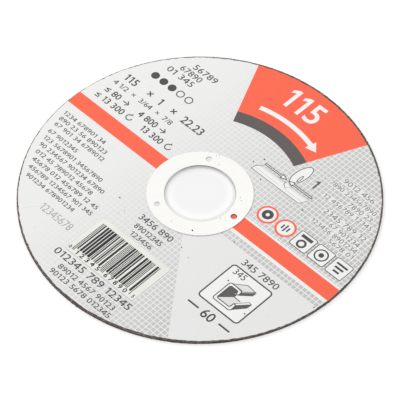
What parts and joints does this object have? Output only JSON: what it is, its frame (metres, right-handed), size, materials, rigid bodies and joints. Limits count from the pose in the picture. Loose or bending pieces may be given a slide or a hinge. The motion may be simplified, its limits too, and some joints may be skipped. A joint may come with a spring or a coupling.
{
  "type": "cut-off wheel",
  "caption": "Thin flat abrasive cut-off wheel with a paper label on its front, a drawn metal ring in its bore and a small code sticker.",
  "frame": {"origin": "on the bore's axis at the wheel's bare back face", "axes": "+Z along the bore out of the labelled front, +X along the label's cross stripe, +Y up the label as it is read"},
  "size_m": [0.115, 0.115, 0.0013],
  "materials": {
    "abrasive": "coarse grain in dark resin, matt",
    "label_paper": "printed pale grey paper, matt",
    "ring_metal": "bright tin plate, satin",
    "sticker_paper": "cream paper with printed bars, matt"
  },
  "bodies": {
    "root": {"abrasive_disc": "abrasive", "paper_label": "label_paper", "arbor_ring": "ring_metal", "code_sticker": "sticker_paper"}
  },
  "joints": []
}
